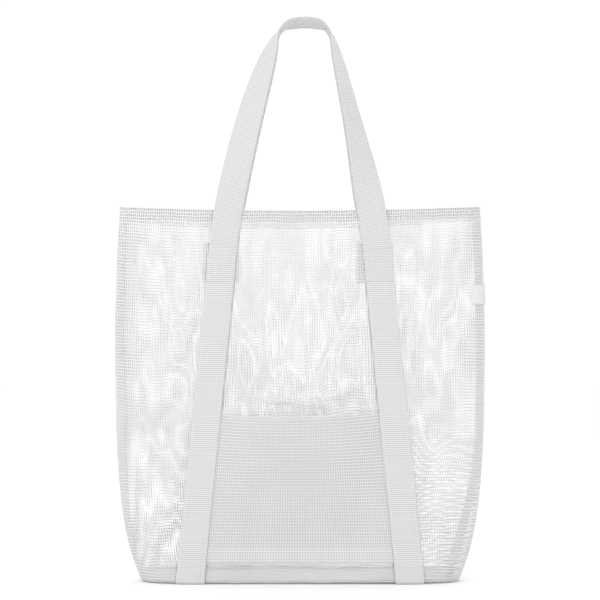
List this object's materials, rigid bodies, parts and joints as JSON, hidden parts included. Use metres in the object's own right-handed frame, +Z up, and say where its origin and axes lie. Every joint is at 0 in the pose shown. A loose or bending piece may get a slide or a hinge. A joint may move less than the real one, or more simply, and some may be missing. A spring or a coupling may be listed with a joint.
{
  "type": "mesh beach bag",
  "caption": "Open-topped mesh beach bag with a flat base, webbing straps under the base, webbing loop handles, an outer patch pocket and a blank side label.",
  "frame": {"origin": "on the ground under the middle of the bag", "axes": "+Z up, front and pocket face -Y, +X to the right seen from the front"},
  "size_m": [0.3961, 0.076, 0.6],
  "materials": {
    "mesh_cloth": "open polyester mesh, matt",
    "webbing": "ribbed polyester webbing, matt",
    "seam_binding": "folded seam tape, matt",
    "thread": "polyester sewing thread, slight sheen",
    "label": "fine woven tape, blank"
  },
  "bodies": {
    "bag": {"front_panel": "mesh_cloth", "back_panel": "mesh_cloth", "base_panel": "mesh_cloth", "left_side_binding": "seam_binding", "right_side_binding": "seam_binding", "front_base_binding": "seam_binding", "back_base_binding": "seam_binding", "front_top_hem": "mesh_cloth", "back_top_hem": "mesh_cloth", "front_hem_stitching": "thread", "back_hem_stitching": "thread", "pocket_panel": "mesh_cloth", "pocket_bottom_hem": "mesh_cloth", "pocket_stitching": "thread", "left_strap": "webbing", "right_strap": "webbing", "left_strap_stitching": "thread", "right_strap_stitching": "thread", "front_left_patch": "mesh_cloth", "front_right_patch": "mesh_cloth", "back_left_patch": "mesh_cloth", "back_right_patch": "mesh_cloth", "front_left_anchor_stitch": "thread", "front_right_anchor_stitch": "thread", "back_left_anchor_stitch": "thread", "back_right_anchor_stitch": "thread"},
    "front_handle": {"front_handle": "webbing"},
    "back_handle": {"back_handle": "webbing"},
    "side_label": {"side_label": "label"}
  },
  "joints": [
    {"name": "front_handle_flop", "type": "hinge", "parent": "bag", "child": "front_handle", "pos_m": [0, -0.0362, 0.355], "axis": [1, 0, 0], "range_deg": [0, 170]},
    {"name": "back_handle_flop", "type": "hinge", "parent": "bag", "child": "back_handle", "pos_m": [0, 0.0362, 0.355], "axis": [-1, 0, 0], "range_deg": [0, 170]},
    {"name": "label_flap", "type": "hinge", "parent": "bag", "child": "side_label", "pos_m": [0.1978, 0, 0.306], "axis": [0, 0, 1], "range_deg": [0, 150]}
  ]
}
